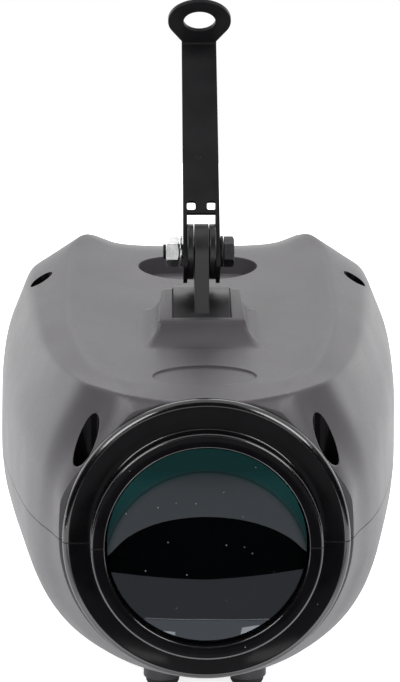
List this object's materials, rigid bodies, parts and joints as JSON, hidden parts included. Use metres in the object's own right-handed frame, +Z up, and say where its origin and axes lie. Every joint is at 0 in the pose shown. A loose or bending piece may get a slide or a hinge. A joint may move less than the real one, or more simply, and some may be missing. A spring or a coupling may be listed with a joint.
{
  "type": "led effect light",
  "caption": "Clamshell LED effect light with one large front lens, rear controls and a hanging strap on a friction hinge",
  "frame": {"origin": "on the plane that the rubber feet stand on, below the middle of the housing", "axes": "+Z up, the lens looks along -Y, +X is to the right of someone who faces the lens"},
  "size_m": [0.168, 0.207, 0.2415],
  "materials": {
    "shell": "satin black moulded ABS with a fine grain",
    "glass": "polished lens glass with a thin teal coating",
    "rubber": "matt black rubber",
    "black_plastic": "semi-matt black moulded plastic",
    "steel_black": "black powder-coated or blackened steel",
    "zinc": "bright zinc-plated steel",
    "aluminium": "plain extruded aluminium",
    "board": "green circuit board",
    "led": "clear and phosphor-filled emitters",
    "copper": "enamelled copper winding on a ferrite core",
    "capacitor": "shrink sleeve on an aluminium can"
  },
  "bodies": {
    "housing": {"upper_shell": "shell", "lower_shell": "shell", "hinge_lug": "shell", "housing_screw_front_left": "steel_black", "housing_screw_front_right": "steel_black", "housing_screw_rear_left": "steel_black", "housing_screw_rear_right": "steel_black", "foot_front_left": "rubber", "foot_front_right": "rubber", "foot_rear_left": "rubber", "foot_rear_right": "rubber", "front_lens": "glass", "lens_gasket": "rubber", "light_tube": "black_plastic", "optic_carrier": "black_plastic", "led_board": "board", "led_array": "led", "heat_sink": "aluminium", "sink_screw_left": "zinc", "sink_screw_right": "zinc", "power_board": "board", "power_screw_a": "zinc", "power_screw_b": "zinc", "power_screw_c": "zinc", "power_screw_d": "zinc", "transformer": "copper", "mains_capacitor": "capacitor", "rectifier_heat_tab": "aluminium", "rear_panel": "black_plastic", "panel_screw_upper_left": "steel_black", "panel_screw_upper_right": "steel_black", "panel_screw_lower_left": "steel_black", "panel_screw_lower_right": "steel_black", "control_board": "board", "board_screw_left": "zinc", "board_screw_right": "zinc", "microphone": "aluminium", "sensitivity_pot": "aluminium", "mains_inlet": "black_plastic", "power_switch_bezel": "black_plastic", "lug_screw_left": "zinc", "lug_screw_right": "zinc"},
    "hanger": {"hanger_strap": "steel_black", "pivot_bolt": "steel_black", "pivot_nut": "zinc", "pivot_washer_nut": "zinc", "pivot_washer_head": "steel_black", "friction_disc_left": "black_plastic", "friction_disc_right": "black_plastic"},
    "rocker": {"power_rocker": "black_plastic"},
    "knob": {"sensitivity_knob": "black_plastic", "pot_shaft": "aluminium"}
  },
  "joints": [
    {"name": "hanger_tilt", "type": "hinge", "parent": "housing", "child": "hanger", "pos_m": [0, -0.0105, 0.1475], "axis": [1, 0, 0], "range_deg": [-50, 95]},
    {"name": "power_rocker_tilt", "type": "hinge", "parent": "housing", "child": "rocker", "pos_m": [0.034, 0.0943, 0.042], "axis": [1, 0, 0], "range_deg": [-18, 0]},
    {"name": "knob_turn", "type": "hinge", "parent": "housing", "child": "knob", "pos_m": [0.03, 0.0955, 0.082], "axis": [0, 1, 0], "range_deg": [-140, 140]}
  ]
}
